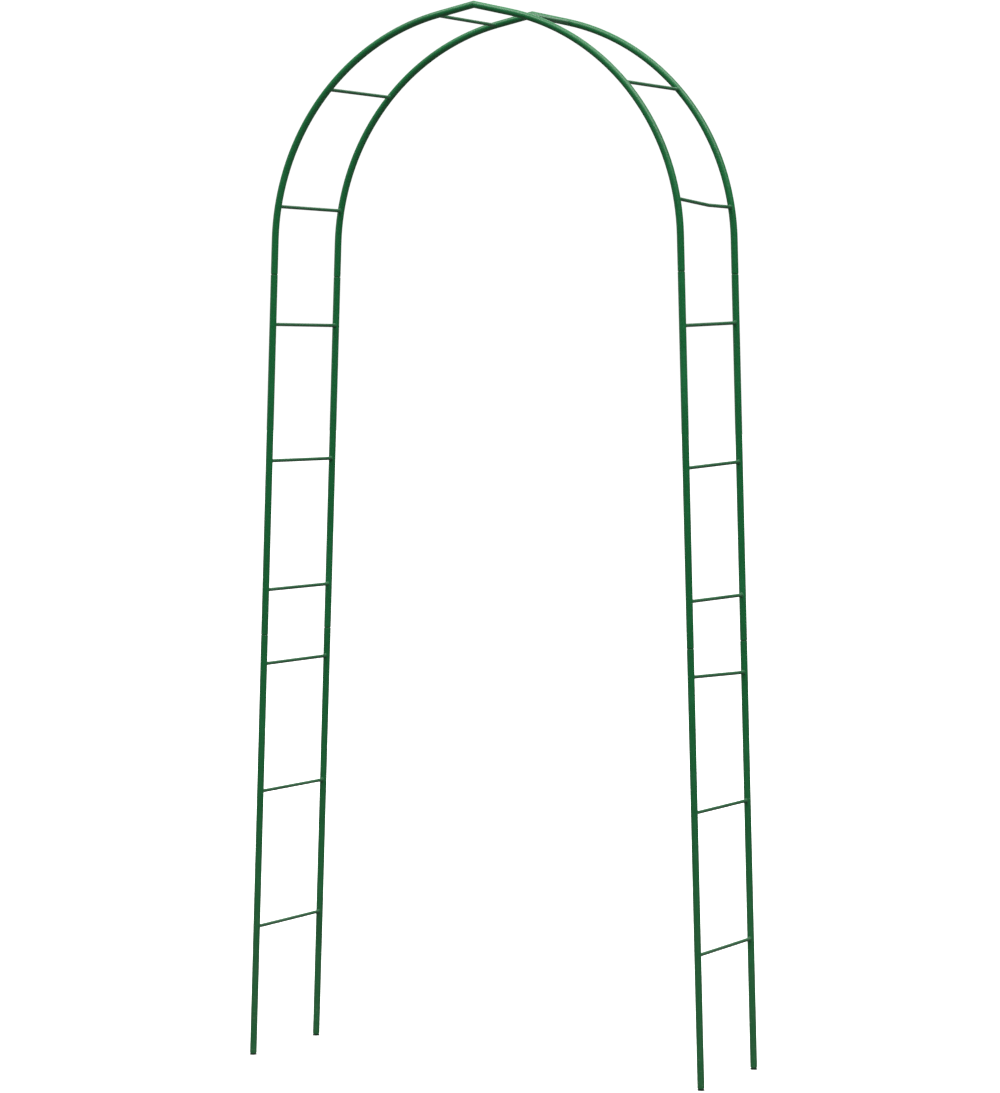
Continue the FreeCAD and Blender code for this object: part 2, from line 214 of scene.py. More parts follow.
def bar_end(rung: str, row: Row, reach: float = 0.003) -> Vector:
    """Middle of one end of a rung.

    Args:
        rung: the rung's node.
        row: which end.
        reach: how much of the bar's end is looked at.

    Returns:
        The point on the bar's axis where the bar meets the tube's crown.
    """
    points = [v.co for v in frame["nodes"][rung].data.vertices]
    tip = max(row.value * p.y for p in points)
    near = [p for p in points if row.value * p.y > tip - reach]
    xs = [p.x for p in near]
    zs = [p.z for p in near]
    return Vector(((min(xs) + max(xs)) / 2, row.value * tip, (min(zs) + max(zs)) / 2))


# --- modelling helpers ------------------------------------------------------------------

def deselect_all() -> None:
    """Leave nothing selected, so that an operator acts only on the piece in hand."""
    if bpy.context.object and bpy.context.object.mode != "OBJECT":
        bpy.ops.object.mode_set(mode="OBJECT")
    bpy.ops.object.select_all(action="DESELECT")


def take_in_hand(piece: bpy.types.Object) -> None:
    """Select one piece and make it the active one.

    Args:
        piece: the piece to work on.
    """
    deselect_all()
    piece.select_set(True)
    bpy.context.view_layer.objects.active = piece


@contextmanager
def edit_mode(piece: bpy.types.Object) -> Iterator[bmesh.types.BMesh]:
    """Open a piece in edit mode, and close it again.

    Args:
        piece: the mesh object to edit.

    Yields:
        The mesh under the edit, for picking vertices and faces.
    """
    take_in_hand(piece)
    bpy.ops.object.mode_set(mode="EDIT")
    bpy.ops.mesh.select_mode(type="VERT")
    bpy.ops.mesh.select_all(action="DESELECT")
    yield bmesh.from_edit_mesh(piece.data)
    bpy.ops.object.mode_set(mode="OBJECT")


def pick_vertices(mesh: bmesh.types.BMesh, wanted: Callable[[Vector], bool]) -> None:
    """Select the vertices at the wanted places, and nothing else.

    Args:
        mesh: the mesh in edit mode.
        wanted: says whether a place is wanted.
    """
    for vertex in mesh.verts:
        vertex.select = wanted(vertex.co)
    mesh.select_flush_mode()


def pick_faces(mesh: bmesh.types.BMesh, wanted: Callable[[bmesh.types.BMFace], bool]) -> None:
    """Select the wanted faces, and nothing else.

    Args:
        mesh: the mesh in edit mode.
        wanted: says whether a face is wanted.
    """
    for vertex in mesh.verts:
        vertex.select = False
    mesh.select_flush_mode()
    for face in mesh.faces:
        if wanted(face):
            face.select_set(True)


def apply_modifier(piece: bpy.types.Object, kind: str, **settings: object) -> None:
    """Add a modifier to a piece and apply it.

    Args:
        piece: the piece to finish.
        kind: the modifier's type.
        **settings: values for the modifier's own fields.
    """
    take_in_hand(piece)
    modifier = piece.modifiers.new(kind.title(), kind)
    for field_name, value in settings.items():
        setattr(modifier, field_name, value)
    bpy.ops.object.modifier_apply(modifier=modifier.name)


def settle(piece: bpy.types.Object, place: Matrix) -> None:
    """Put a piece in its place, and work the place into its mesh.

    Args:
        piece: the piece, modelled at the origin.
        place: where it goes and how it is turned.
    """
    piece.matrix_world = place
    take_in_hand(piece)
    bpy.ops.object.transform_apply(location=True, rotation=True, scale=True)


def own_copy(master: bpy.types.Object, name: str) -> bpy.types.Object:
    """Copy a piece, with a mesh of its own.

    Args:
        master: the piece to copy.
        name: the copy's name.

    Returns:
        The copy.
    """
    piece = master.copy()
    piece.data = master.data.copy()
    piece.name = name
    piece.data.name = name
    bpy.context.scene.collection.objects.link(piece)
    return piece


# --- shader wiring ----------------------------------------------------------------------

class Wiring:
    """A shader node tree while it is being wired."""

    def __init__(self, tree: bpy.types.NodeTree) -> None:
        """Start wiring a tree, from no nodes at all."""
        self.tree = tree
        tree.nodes.clear()

    def add(self, kind: str, **settings: object) -> bpy.types.Node:
        """Add a node.

        Args:
            kind: the node's type.
            **settings: values for the node's own fields.

        Returns:
            The new node.
        """
        node = self.tree.nodes.new(kind)
        for field_name, value in settings.items():
            setattr(node, field_name, value)
        return node

    def feed(self, socket: Socket, value: Feed) -> None:
        """Link a socket to another one, or set its own value.

        Args:
            socket: the input to feed.
            value: another socket, or a number, vector or colour.
        """
        if isinstance(value, bpy.types.NodeSocket):
            self.tree.links.new(value, socket)
        elif socket.type == "RGBA" and len(value) == 3:
            socket.default_value = (*value, 1.0)
        else:
            socket.default_value = value

    def math(self, operation: str, *values: Feed) -> Socket:
        """Work out a Math node.

        Args:
            operation: the node's operation.
            *values: what it works on.

        Returns:
            The result.
        """
        node = self.add("ShaderNodeMath", operation=operation)
        for socket, value in zip(node.inputs, values):
            self.feed(socket, value)
        return node.outputs[0]

    def total(self, *values: Feed) -> Socket:
        """Add several values up.

        Args:
            *values: what is added.

        Returns:
            The sum.
        """
        result = values[0]
        for value in values[1:]:
            result = self.math("ADD", result, value)
        return result

    def product(self, *values: Feed) -> Socket:
        """Multiply several values.

        Args:
            *values: what is multiplied.

        Returns:
            The product.
        """
        result = values[0]
        for value in values[1:]:
            result = self.math("MULTIPLY", result, value)
        return result

    def split(self, vector: Feed) -> list[Socket]:
        """Split a vector.

        Args:
            vector: the vector.

        Returns:
            Its X, Y and Z.
        """
        node = self.add("ShaderNodeSeparateXYZ")
        self.feed(node.inputs[0], vector)
        return list(node.outputs)

    def join(self, x: Feed, y: Feed, z: Feed) -> Socket:
        """Join three values to a vector.

        Args:
            x: its X.
            y: its Y.
            z: its Z.

        Returns:
            The vector.
        """
        node = self.add("ShaderNodeCombineXYZ")
        for socket, value in zip(node.inputs, (x, y, z)):
            self.feed(socket, value)
        return node.outputs[0]

    def noise(self, at: Feed, scale: Feed, detail: float = 2.0, rough: float = 0.5) -> Socket:
        """Value of a noise texture.

        Args:
            at: where it is read.
            scale: how many lumps there are in a metre.
            detail: how many finer layers it has.
            rough: how strong the finer layers are.

        Returns:
            The noise, from 0 to 1.
        """
        node = self.add("ShaderNodeTexNoise")
        self.feed(node.inputs["Vector"], at)
        self.feed(node.inputs["Scale"], scale)
        self.feed(node.inputs["Detail"], detail)
        self.feed(node.inputs["Roughness"], rough)
        return node.outputs["Fac"]

    def fade(
        self, value: Feed, start: Feed, end: Feed, low: Feed = 0.0, high: Feed = 1.0
    ) -> Socket:
        """Smooth step of a value.

        Args:
            value: what is stepped.
            start: the value where the step starts.
            end: the value where it ends.
            low: the result before the start.
            high: the result after the end.

        Returns:
            The step, from low to high.
        """
        node = self.add("ShaderNodeMapRange", interpolation_type="SMOOTHSTEP")
        for name, given in (
            ("Value", value), ("From Min", start), ("From Max", end), ("To Min", low),
            ("To Max", high),
        ):
            self.feed(node.inputs[name], given)
        return node.outputs["Result"]

    def mix(self, amount: Feed, first: Feed, second: Feed) -> Socket:
        """Mix two colours.

        Args:
            amount: how much of the second one is in the mix.
            first: the first colour.
            second: the second colour.

        Returns:
            The mixed colour.
        """
        node = self.add("ShaderNodeMix", data_type="RGBA")
        colours = [s for s in node.inputs if s.type == "RGBA"]
        self.feed(node.inputs["Factor"], amount)
        self.feed(colours[0], first)
        self.feed(colours[1], second)
        return next(s for s in node.outputs if s.type == "RGBA")

    def use(self, effect: type["Effect"], **values: Feed) -> dict[str, Socket]:
        """Place an effect's group.

        Args:
            effect: the effect.
            **values: what its inputs take, with _ for each space in an input's name.

        Returns:
            The group's outputs by name.
        """
        node = self.add("ShaderNodeGroup", node_tree=effect.group())
        node.label = effect.title
        for name, value in values.items():
            self.feed(node.inputs[name.replace("_", " ")], value)
        return {socket.name: socket for socket in node.outputs}


class Effect(ABC):
    """A shader node group that several finishes share, made on first use."""

    title: ClassVar[str]
    takes: ClassVar[dict[str, tuple[str, object]]]
    gives: ClassVar[dict[str, str]]

    @classmethod
    def group(cls) -> bpy.types.ShaderNodeTree:
        """Find the effect's node group, or make it.

        Returns:
            The node group.
        """
        found = bpy.data.node_groups.get(cls.title)
        if found:
            return found
        tree = bpy.data.node_groups.new(cls.title, "ShaderNodeTree")
        for name, (kind, value) in cls.takes.items():
            socket = tree.interface.new_socket(
                name=name, in_out="INPUT", socket_type=f"NodeSocket{kind}"
            )
            if value is not None:
                socket.default_value = value
        for name, kind in cls.gives.items():
            tree.interface.new_socket(
                name=name, in_out="OUTPUT", socket_type=f"NodeSocket{kind}"
            )
        wiring = Wiring(tree)
        start = wiring.add("NodeGroupInput")
        end = wiring.add("NodeGroupOutput")
        given = {socket.name: socket for socket in start.outputs}
        for name, socket in cls.wire(wiring, given).items():
            tree.links.new(socket, end.inputs[name])
        return tree

    @staticmethod
    @abstractmethod
    def wire(wiring: Wiring, given: dict[str, Socket]) -> dict[str, Socket]:
        """Wire the effect.

        Args:
            wiring: the group's tree.
            given: the group's inputs by name.

        Returns:
            What goes to each output, by name.
        """


class LegLine(Effect):
    """Where a point lies on the nearest leg: the four legs are folded onto one."""

    title = "leg line"
    takes = {
        "Position": ("Vector", None), "Foot X": ("Float", 0.5), "Row Y": ("Float", 0.1),
        "Lean": ("Float", 0.0),
    }
    gives = {"Along": "Float", "Across": "Float", "Depth": "Float", "Off Axis": "Float"}

    @staticmethod
    def wire(wiring: Wiring, given: dict[str, Socket]) -> dict[str, Socket]:
        """Turn the folded point by the lean about the foot.

        Args:
            wiring: the group's tree.
            given: the group's inputs by name.

        Returns:
            What goes to each output, by name.
        """
        x, y, z = wiring.split(given["Position"])
        from_foot = wiring.math("SUBTRACT", wiring.math("ABSOLUTE", x), given["Foot X"])
        depth = wiring.math("SUBTRACT", wiring.math("ABSOLUTE", y), given["Row Y"])
        cosine = wiring.math("COSINE", given["Lean"])
        sine = wiring.math("SINE", given["Lean"])
        across = wiring.total(wiring.product(from_foot, cosine), wiring.product(z, sine))
        along = wiring.math(
            "SUBTRACT", wiring.product(z, cosine), wiring.product(from_foot, sine)
        )
        squares = wiring.total(wiring.product(across, across), wiring.product(depth, depth))
        return {
            "Along": along, "Across": across, "Depth": depth,
            "Off Axis": wiring.math("SQRT", squares),
        }


class BendLine(Effect):
    """Where a point lies on the curved top: its four tubes are folded onto one."""

    title = "bend line"
    takes = {
        "Position": ("Vector", None), "Centre X": ("Float", 0.0), "Centre Z": ("Float", 1.8),
        "Radius": ("Float", 0.5), "Row Y": ("Float", 0.1),
    }
    gives = {"Along": "Float", "Across": "Float", "Depth": "Float"}

    @staticmethod
    def wire(wiring: Wiring, given: dict[str, Socket]) -> dict[str, Socket]:
        """Take the folded point in polar form about the bend's centre.

        Args:
            wiring: the group's tree.
            given: the group's inputs by name.

        Returns:
            What goes to each output, by name.
        """
        x, y, z = wiring.split(given["Position"])
        from_x = wiring.math("SUBTRACT", wiring.math("ABSOLUTE", x), given["Centre X"])
        from_z = wiring.math("SUBTRACT", z, given["Centre Z"])
        depth = wiring.math("SUBTRACT", wiring.math("ABSOLUTE", y), given["Row Y"])
        squares = wiring.total(wiring.product(from_x, from_x), wiring.product(from_z, from_z))
        turn = wiring.math("ARCTAN2", from_z, from_x)
        return {
            "Along": wiring.product(turn, given["Radius"]),
            "Across": wiring.math("SUBTRACT", wiring.math("SQRT", squares), given["Radius"]),
            "Depth": depth,
        }


class OrangePeel(Effect):
    """Small pebbles of a baked powder coat, over the slow swell of its thickness."""

    title = "orange peel"
    takes = {"Position": ("Vector", None), "Pebbles": ("Float", 500.0), "Depth": ("Float", 1e-5)}
    gives = {"Height": "Float"}

    @staticmethod
    def wire(wiring: Wiring, given: dict[str, Socket]) -> dict[str, Socket]:
        """Add fine pebbles to a swell a tenth as fine and twice as high.

        Args:
            wiring: the group's tree.
            given: the group's inputs by name.

        Returns:
            What goes to each output, by name.
        """
        pebbles = wiring.noise(given["Position"], given["Pebbles"], detail=1.0)
        swell_scale = wiring.product(given["Pebbles"], 0.1)
        swell = wiring.noise(given["Position"], swell_scale, detail=1.0)
        height = wiring.total(pebbles, wiring.product(swell, 2.0))
        return {"Height": wiring.product(height, given["Depth"])}


class ToneDrift(Effect):
    """Colour of a coat that lies thinner here and thicker there."""

    title = "tone drift"
    takes = {
        "Position": ("Vector", None), "Colour": ("Color", None), "Thin": ("Color", None),
        "Thick": ("Color", None), "Patches": ("Float", 12.0), "Amount": ("Float", 1.0),
    }
    gives = {"Colour": "Color", "Patch": "Float"}

    @staticmethod
    def wire(wiring: Wiring, given: dict[str, Socket]) -> dict[str, Socket]:
        """Blend towards the thin and the thick colour by a broken-up noise.

        Args:
            wiring: the group's tree.
            given: the group's inputs by name.

        Returns:
            What goes to each output, by name.
        """
        broad = wiring.noise(given["Position"], given["Patches"], detail=4.0, rough=0.6)
        fine_scale = wiring.product(given["Patches"], 60.0)
        fine = wiring.noise(given["Position"], fine_scale, detail=2.0)
        patch = wiring.total(wiring.product(broad, 0.75), wiring.product(fine, 0.25))
        thin = wiring.product(wiring.fade(patch, 0.48, 0.34), given["Amount"])
        thick = wiring.product(wiring.fade(patch, 0.52, 0.66), given["Amount"])
        colour = wiring.mix(thin, given["Colour"], given["Thin"])
        return {"Colour": wiring.mix(thick, colour, given["Thick"]), "Patch": patch}


class DrawnLines(Effect):
    """Fine lines that drawing leaves along a tube or bar, seen through the paint."""

    title = "drawn lines"
    takes = {
        "Along": ("Float", 0.0), "Across": ("Float", 0.0), "Depth": ("Float", 0.0),
        "Fineness": ("Float", 700.0),
    }
    gives = {"Line": "Float"}

    @staticmethod
    def wire(wiring: Wiring, given: dict[str, Socket]) -> dict[str, Socket]:
        """Stretch a noise fifty times along the piece.

        Args:
            wiring: the group's tree.
            given: the group's inputs by name.

        Returns:
            What goes to each output, by name.
        """
        stretch = wiring.product(given["Along"], 0.02)
        at = wiring.join(given["Across"], given["Depth"], stretch)
        return {"Line": wiring.noise(at, given["Fineness"], detail=3.0, rough=0.6)}


class WornAndHighlitBand(Effect):
    """Broken patches in a narrow band: worn edges, and at the tube rims a painted highlight too.
    """

    title = "worn and highlit band"
    takes = {
        "Position": ("Vector", None), "Distance": ("Float", 1.0), "Reach": ("Float", 0.001),
        "Cover": ("Float", 0.5),
    }
    gives = {"Rub": "Float"}
    chips_per_metre: ClassVar[float] = 420.0

    @staticmethod
    def wire(wiring: Wiring, given: dict[str, Socket]) -> dict[str, Socket]:
        """Cut a noise off at the cover, inside the band.

        Args:
            wiring: the group's tree.
            given: the group's inputs by name.

        Returns:
            What goes to each output, by name.
        """
        off = wiring.math("ABSOLUTE", given["Distance"])
        band = wiring.fade(off, given["Reach"], wiring.product(given["Reach"], 0.3))
        chips = wiring.noise(
            given["Position"], WornAndHighlitBand.chips_per_metre, detail=4.0, rough=0.65
        )
        level = wiring.math("SUBTRACT", 1.0, given["Cover"])
        bare = wiring.fade(chips, level, wiring.total(level, 0.06))
        return {"Rub": wiring.product(band, bare)}


class DustAndTopSheen(Effect):
    """Dust that lies on what faces up, lightening it as dust and as a painted highlight."""

    title = "dust and top sheen"
    takes = {"Position": ("Vector", None), "Facing": ("Vector", None), "Amount": ("Float", 0.2)}
    gives = {"Dust": "Float"}
    clumps_per_metre: ClassVar[float] = 90.0

    @staticmethod
    def wire(wiring: Wiring, given: dict[str, Socket]) -> dict[str, Socket]:
        """Break up the share of the surface that faces up.

        Args:
            wiring: the group's tree.
            given: the group's inputs by name.

        Returns:
            What goes to each output, by name.
        """
        up = wiring.split(given["Facing"])[2]
        lying = wiring.fade(up, 0.25, 0.95)
        clumps = wiring.noise(
            given["Position"], DustAndTopSheen.clumps_per_metre, detail=5.0, rough=0.7
        )
        cover = wiring.fade(clumps, 0.35, 0.7, low=0.4)
        return {"Dust": wiring.product(lying, cover, given["Amount"])}


class GroundSplash(Effect):
    """Thin film of dried splashes that gets denser towards the ground."""

    title = "ground splash"
    takes = {"Position": ("Vector", None), "Reach": ("Float", 0.9), "Amount": ("Float", 0.05)}
    gives = {"Film": "Float"}
    drops_per_metre: ClassVar[float] = 260.0
    clouds_per_metre: ClassVar[float] = 24.0

    @staticmethod
    def wire(wiring: Wiring, given: dict[str, Socket]) -> dict[str, Socket]:
        """Fade an even film upwards, with drops in its lower part.

        Args:
            wiring: the group's tree.
            given: the group's inputs by name.

        Returns:
            What goes to each output, by name.
        """
        height = wiring.split(given["Position"])[2]
        film = wiring.fade(height, given["Reach"], wiring.product(given["Reach"], 0.1))
        low = wiring.fade(height, wiring.product(given["Reach"], 0.3), 0.0)
        spots = wiring.noise(given["Position"], GroundSplash.drops_per_metre, detail=3.0)
        drops = wiring.fade(spots, 0.60, 0.68)
        clouds = wiring.noise(given["Position"], GroundSplash.clouds_per_metre, detail=3.0)
        cloud = wiring.fade(clouds, 0.3, 0.7, low=0.5)
        dirt = wiring.total(wiring.product(film, cloud), wiring.product(low, drops, 4.0))
        return {"Film": wiring.product(dirt, given["Amount"])}


# --- finishes ---------------------------------------------------------------------------

class Finish(ABC):
    """What a surface is made of, as a material."""

    name: str

    def material(self, layout: ArchLayout) -> bpy.types.Material:
        """The finish's material, made on first use.

        Args:
            layout: the lines that patterns run along.

        Returns:
            The material.
        """
        found = bpy.data.materials.get(self.name)
        if found:
            return found
        made = bpy.data.materials.new(self.name)
        made.use_nodes = True
        wiring = Wiring(made.node_tree)
        surface = wiring.add("ShaderNodeBsdfPrincipled")
        end = wiring.add("ShaderNodeOutputMaterial")
        self.wire(wiring, surface.inputs, layout)
        wiring.feed(end.inputs["Surface"], surface.outputs["BSDF"])
        return made

    @abstractmethod
    def wire(self, wiring: Wiring, surface: bpy.types.NodeInputs, layout: ArchLayout) -> None:
        """Wire the finish into the surface shader.

        Args:
            wiring: the material's tree.
            surface: the inputs of its Principled BSDF.
            layout: the lines that patterns run along.
        """

    @staticmethod
    def bump(wiring: Wiring, surface: bpy.types.NodeInputs, height: Feed) -> None:
        """Raise the surface.

        Args:
            wiring: the material's tree.
            surface: the inputs of its Principled BSDF.
            height: how far it is raised, in metres.
        """
        node = wiring.add("ShaderNodeBump")
        node.inputs["Strength"].default_value = 1.0
        node.inputs["Distance"].default_value = 1.0
        wiring.feed(node.inputs["Height"], height)
        wiring.feed(surface["Normal"], node.outputs["Normal"])


@dataclass(frozen=True)
class PowderCoat(Finish):
    """Semi-gloss powder coat on steel.

    Args:
        name: the material's name.
        run: which way the drawing lines run.
        colour: the coat where it has its usual thickness.
        thin: the coat where it is thin.
        thick: the coat where it has pooled.
        roughness: how matt it is.
        gloss: how strongly it mirrors, as the shader's specular level.
        dust: how much dust lies on it, lightening what faces up, partly as a painted highlight.
        splash: how dense the dried splashes are near the ground.
        peel: height of the orange peel.
        rub: share of the rim band that turns pale, as worn-through primer and painted highlight.
        rim: height of the pale band at a rim, worn primer and painted highlight.
    """

    name: str
    run: GrainRun
    colour: Colour
    thin: Colour
    thick: Colour
    roughness: float
    gloss: float = 0.32
    dust: float = 0.04
    splash: float = 0.035
    peel: float = 6e-6
    rub: float = 0.40
    rim: float = 0.0010

    patches: ClassVar[float] = 11.0
    drift: ClassVar[float] = 0.60
    roughness_swing: ClassVar[float] = 0.10
    splash_reach: ClassVar[float] = 0.9
    pebbles: ClassVar[float] = 520.0
    line_fineness: ClassVar[float] = 420.0
    line_height: ClassVar[float] = 4e-6
    chip_depth: ClassVar[float] = 6e-5
    scratch_fineness: ClassVar[float] = 2400.0
    scratch_stretch: ClassVar[float] = 0.03
    # Pale mint of worn-through primer, which is also a painted highlight on the tube rims.
    primer: ClassVar[Colour] = (0.16, 0.36, 0.24)
    steel: ClassVar[Colour] = (0.33, 0.36, 0.36)
    # Colour of dust and splashes, which on what faces up is also a painted highlight.
    dust_colour: ClassVar[Colour] = (0.36, 0.35, 0.30)

    def wire(self, wiring: Wiring, surface: bpy.types.NodeInputs, layout: ArchLayout) -> None:
        """Wire colour, lines, dust, worn rims and orange peel; the dust on what faces up and the
        rims' pale primer also paint a highlight.

        Args:
            wiring: the material's tree.
            surface: the inputs of its Principled BSDF.
            layout: the lines that patterns run along.
        """
        place = wiring.add("ShaderNodeTexCoord")
        position = place.outputs["Object"]
        facing = wiring.add("ShaderNodeNewGeometry").outputs["Normal"]
        drift = wiring.use(
            ToneDrift, Position=position, Colour=self.colour, Thin=self.thin,
            Thick=self.thick, Patches=self.patches, Amount=self.drift,
        )
        line = self.lines(wiring, position, layout)
        colour = wiring.mix(wiring.fade(line, 0.52, 0.75, high=0.35), drift["Colour"], self.thin)
        colour = wiring.mix(wiring.fade(line, 0.48, 0.28, high=0.40), colour, self.thick)
        # Painted highlight mixed with dust: what faces up is lightened; splashes lighten the legs
        # near the ground.
        dust = wiring.total(
            wiring.use(DustAndTopSheen, Position=position, Facing=facing, Amount=self.dust)["Dust"],
            wiring.use(
                GroundSplash, Position=position, Reach=self.splash_reach, Amount=self.splash
            )["Film"],
        )
        colour = wiring.mix(dust, colour, self.dust_colour)
        rubbed_and_highlit, bare = self.wear(wiring, position, layout)
        # Painted highlight and wear: pale primer colour in narrow bands at the tube rims.
        colour = wiring.mix(rubbed_and_highlit, colour, self.primer)
        wiring.feed(surface["Base Color"], wiring.mix(bare, colour, self.steel))
        wiring.feed(surface["Metallic"], bare)
        wiring.feed(surface["Roughness"], wiring.total(
            self.roughness - 0.5 * self.roughness_swing,
            wiring.product(drift["Patch"], self.roughness_swing), wiring.product(dust, 0.6),
        ))
        surface["Specular IOR Level"].default_value = self.gloss
        peel = wiring.use(
            OrangePeel, Position=position, Pebbles=self.pebbles, Depth=self.peel
        )["Height"]
        raised = wiring.product(line, self.line_height)
        chipped = wiring.product(wiring.math("MAXIMUM", rubbed_and_highlit, bare), -self.chip_depth)
        self.bump(wiring, surface, wiring.total(peel, raised, chipped))

    def lines(self, wiring: Wiring, position: Socket, layout: ArchLayout) -> Socket:
        """Draw lines that follow the piece.

        Args:
            wiring: the material's tree.
            position: the point on the piece.
            layout: the lines that patterns run along.

        Returns:
            How strong the lines are at the point.
        """
        if self.run is GrainRun.ALONG_LEG:
            spot = wiring.use(
                LegLine, Position=position, Foot_X=layout.foot_x, Row_Y=layout.row_y,
                Lean=layout.lean,
            )
        elif self.run is GrainRun.ALONG_BEND:
            centre_x, centre_z = layout.bend_centre
            spot = wiring.use(
                BendLine, Position=position, Centre_X=centre_x, Centre_Z=centre_z,
                Radius=layout.bend_radius, Row_Y=layout.row_y,
            )
        else:
            across, along, depth = wiring.split(position)
            spot = {"Along": along, "Across": across, "Depth": depth}
        return wiring.use(
            DrawnLines, Along=spot["Along"], Across=spot["Across"], Depth=spot["Depth"],
            Fineness=self.line_fineness,
        )["Line"]

    def wear(
        self, wiring: Wiring, position: Socket, layout: ArchLayout
    ) -> tuple[Feed, Feed]:
        """Rims worn to the primer, also a painted highlight, and spigots scuffed down to the
        steel.

        Args:
            wiring: the material's tree.
            position: the point on the piece.
            layout: where the joints are.

        Returns:
            How much pale rim band, worn primer and painted highlight, and how much steel shows.
        """
        if self.run is GrainRun.FRONT_TO_BACK:
            return 0.0, 0.0
        leg = wiring.use(
            LegLine, Position=position, Foot_X=layout.foot_x, Row_Y=layout.row_y,
            Lean=layout.lean,
        )
        # Narrow pale bands at the joint rims, worn primer and painted highlight in one.
        rims = [
            wiring.use(
                WornAndHighlitBand, Position=position, Reach=self.rim, Cover=self.rub,
                Distance=wiring.math("SUBTRACT", leg["Along"], joint - 0.5 * self.rim),
            )["Rub"]
            for joint in (layout.lower_joint, layout.upper_joint)
        ]
        streak_at = wiring.join(
            leg["Across"], leg["Depth"], wiring.product(leg["Along"], self.scratch_stretch)
        )
        scratches = wiring.noise(streak_at, self.scratch_fineness, detail=4.0, rough=0.65)
        streaks = wiring.fade(scratches, 0.42, 0.62)
        inner = layout.tube_radius - layout.tube_wall
        on_spigot = wiring.product(
            wiring.fade(leg["Off Axis"], inner + 0.0004, inner),
            wiring.math("LESS_THAN", leg["Along"], layout.upper_joint),
        )
        scuffed = wiring.product(on_spigot, streaks, 0.8)
        return wiring.math("MAXIMUM", *rims), scuffed


@dataclass(frozen=True)
class MouldedPlastic(Finish):
    """Dark moulded plastic with a fine spark-eroded grain, scuffed underneath.

    Args:
        name: the material's name.
        colour: the plastic.
        scuffed: the plastic where the ground has scraped it.
    """

    name: str
    colour: Colour
    scuffed: Colour

    roughness: ClassVar[float] = 0.42
    patches: ClassVar[float] = 160.0
    scuff_reach: ClassVar[float] = 0.0022
    scuff_cover: ClassVar[float] = 0.48
    grains: ClassVar[float] = 2600.0
    grain_depth: ClassVar[float] = 5e-6

    def wire(self, wiring: Wiring, surface: bpy.types.NodeInputs, layout: ArchLayout) -> None:
        """Wire the grain, the tone and the scuffs near the ground.

        Args:
            wiring: the material's tree.
            surface: the inputs of its Principled BSDF.
            layout: not used by this finish.
        """
        position = wiring.add("ShaderNodeTexCoord").outputs["Object"]
        height = wiring.split(position)[2]
        scuff = wiring.use(
            WornAndHighlitBand, Position=position, Distance=height, Reach=self.scuff_reach,
            Cover=self.scuff_cover,
        )["Rub"]
        drift = wiring.use(
            ToneDrift, Position=position, Colour=self.colour, Thin=self.scuffed,
            Thick=tuple(0.6 * c for c in self.colour), Patches=self.patches, Amount=0.5,
        )
        colour = wiring.mix(wiring.product(scuff, 0.7), drift["Colour"], self.scuffed)
        wiring.feed(surface["Base Color"], colour)
        wiring.feed(
            surface["Roughness"], wiring.total(self.roughness, wiring.product(scuff, 0.3))
        )
        grain = wiring.use(
            OrangePeel, Position=position, Pebbles=self.grains, Depth=self.grain_depth
        )["Height"]
        self.bump(wiring, surface, grain)


@dataclass(frozen=True)
class PlatedSteel(Finish):
    """Zinc-plated bar with drawing lines and a cloudy passivation.

    Args:
        name: the material's name.
        colour: the bright zinc.
        cloudy: the zinc where it has dulled.
    """

    name: str
    colour: Colour
    cloudy: Colour

    roughness: ClassVar[float] = 0.26
    patches: ClassVar[float] = 90.0
    line_fineness: ClassVar[float] = 1800.0
    line_height: ClassVar[float] = 8e-6

    def wire(self, wiring: Wiring, surface: bpy.types.NodeInputs, layout: ArchLayout) -> None:
        """Wire cloudy zinc with lines along the pin.

        Args:
            wiring: the material's tree.
            surface: the inputs of its Principled BSDF.
            layout: not used by this finish.
        """
        position = wiring.add("ShaderNodeTexCoord").outputs["Object"]
        along, across, depth = wiring.split(position)
        line = wiring.use(
            DrawnLines, Along=along, Across=across, Depth=depth, Fineness=self.line_fineness
        )["Line"]
        drift = wiring.use(
            ToneDrift, Position=position, Colour=self.colour, Thin=self.colour,
            Thick=self.cloudy, Patches=self.patches, Amount=0.9,
        )
        wiring.feed(surface["Base Color"], drift["Colour"])
        surface["Metallic"].default_value = 1.0
        wiring.feed(
            surface["Roughness"], wiring.total(self.roughness, wiring.product(line, 0.22))
        )
        self.bump(wiring, surface, wiring.product(line, self.line_height))


GREEN: Colour = (0.0034, 0.103, 0.0265)
GREEN_THIN: Colour = (0.010, 0.134, 0.043)
GREEN_THICK: Colour = (0.002, 0.077, 0.019)

LEG_COAT = PowderCoat("tube_coat_leg", GrainRun.ALONG_LEG, GREEN, GREEN_THIN, GREEN_THICK, 0.38)
BEND_COAT = PowderCoat("tube_coat_bend", GrainRun.ALONG_BEND, GREEN, GREEN_THIN, GREEN_THICK, 0.38)
RUNG_COAT = PowderCoat(
    "rung_coat", GrainRun.FRONT_TO_BACK, (0.018, 0.098, 0.038), (0.036, 0.130, 0.056),
    (0.010, 0.066, 0.025), 0.46,
)
WELD_COAT = PowderCoat(
    "weld_coat", GrainRun.FRONT_TO_BACK, (0.010, 0.112, 0.036), (0.030, 0.165, 0.066),
    (0.005, 0.060, 0.020), 0.36, peel=1.4e-5,
)
PLUG_PLASTIC = MouldedPlastic("plug_plastic", (0.006, 0.036, 0.016), (0.060, 0.085, 0.066))
PIN_ZINC = PlatedSteel("pin_zinc", (0.62, 0.62, 0.60), (0.40, 0.41, 0.40))


# --- pieces -----------------------------------------------------------------------------

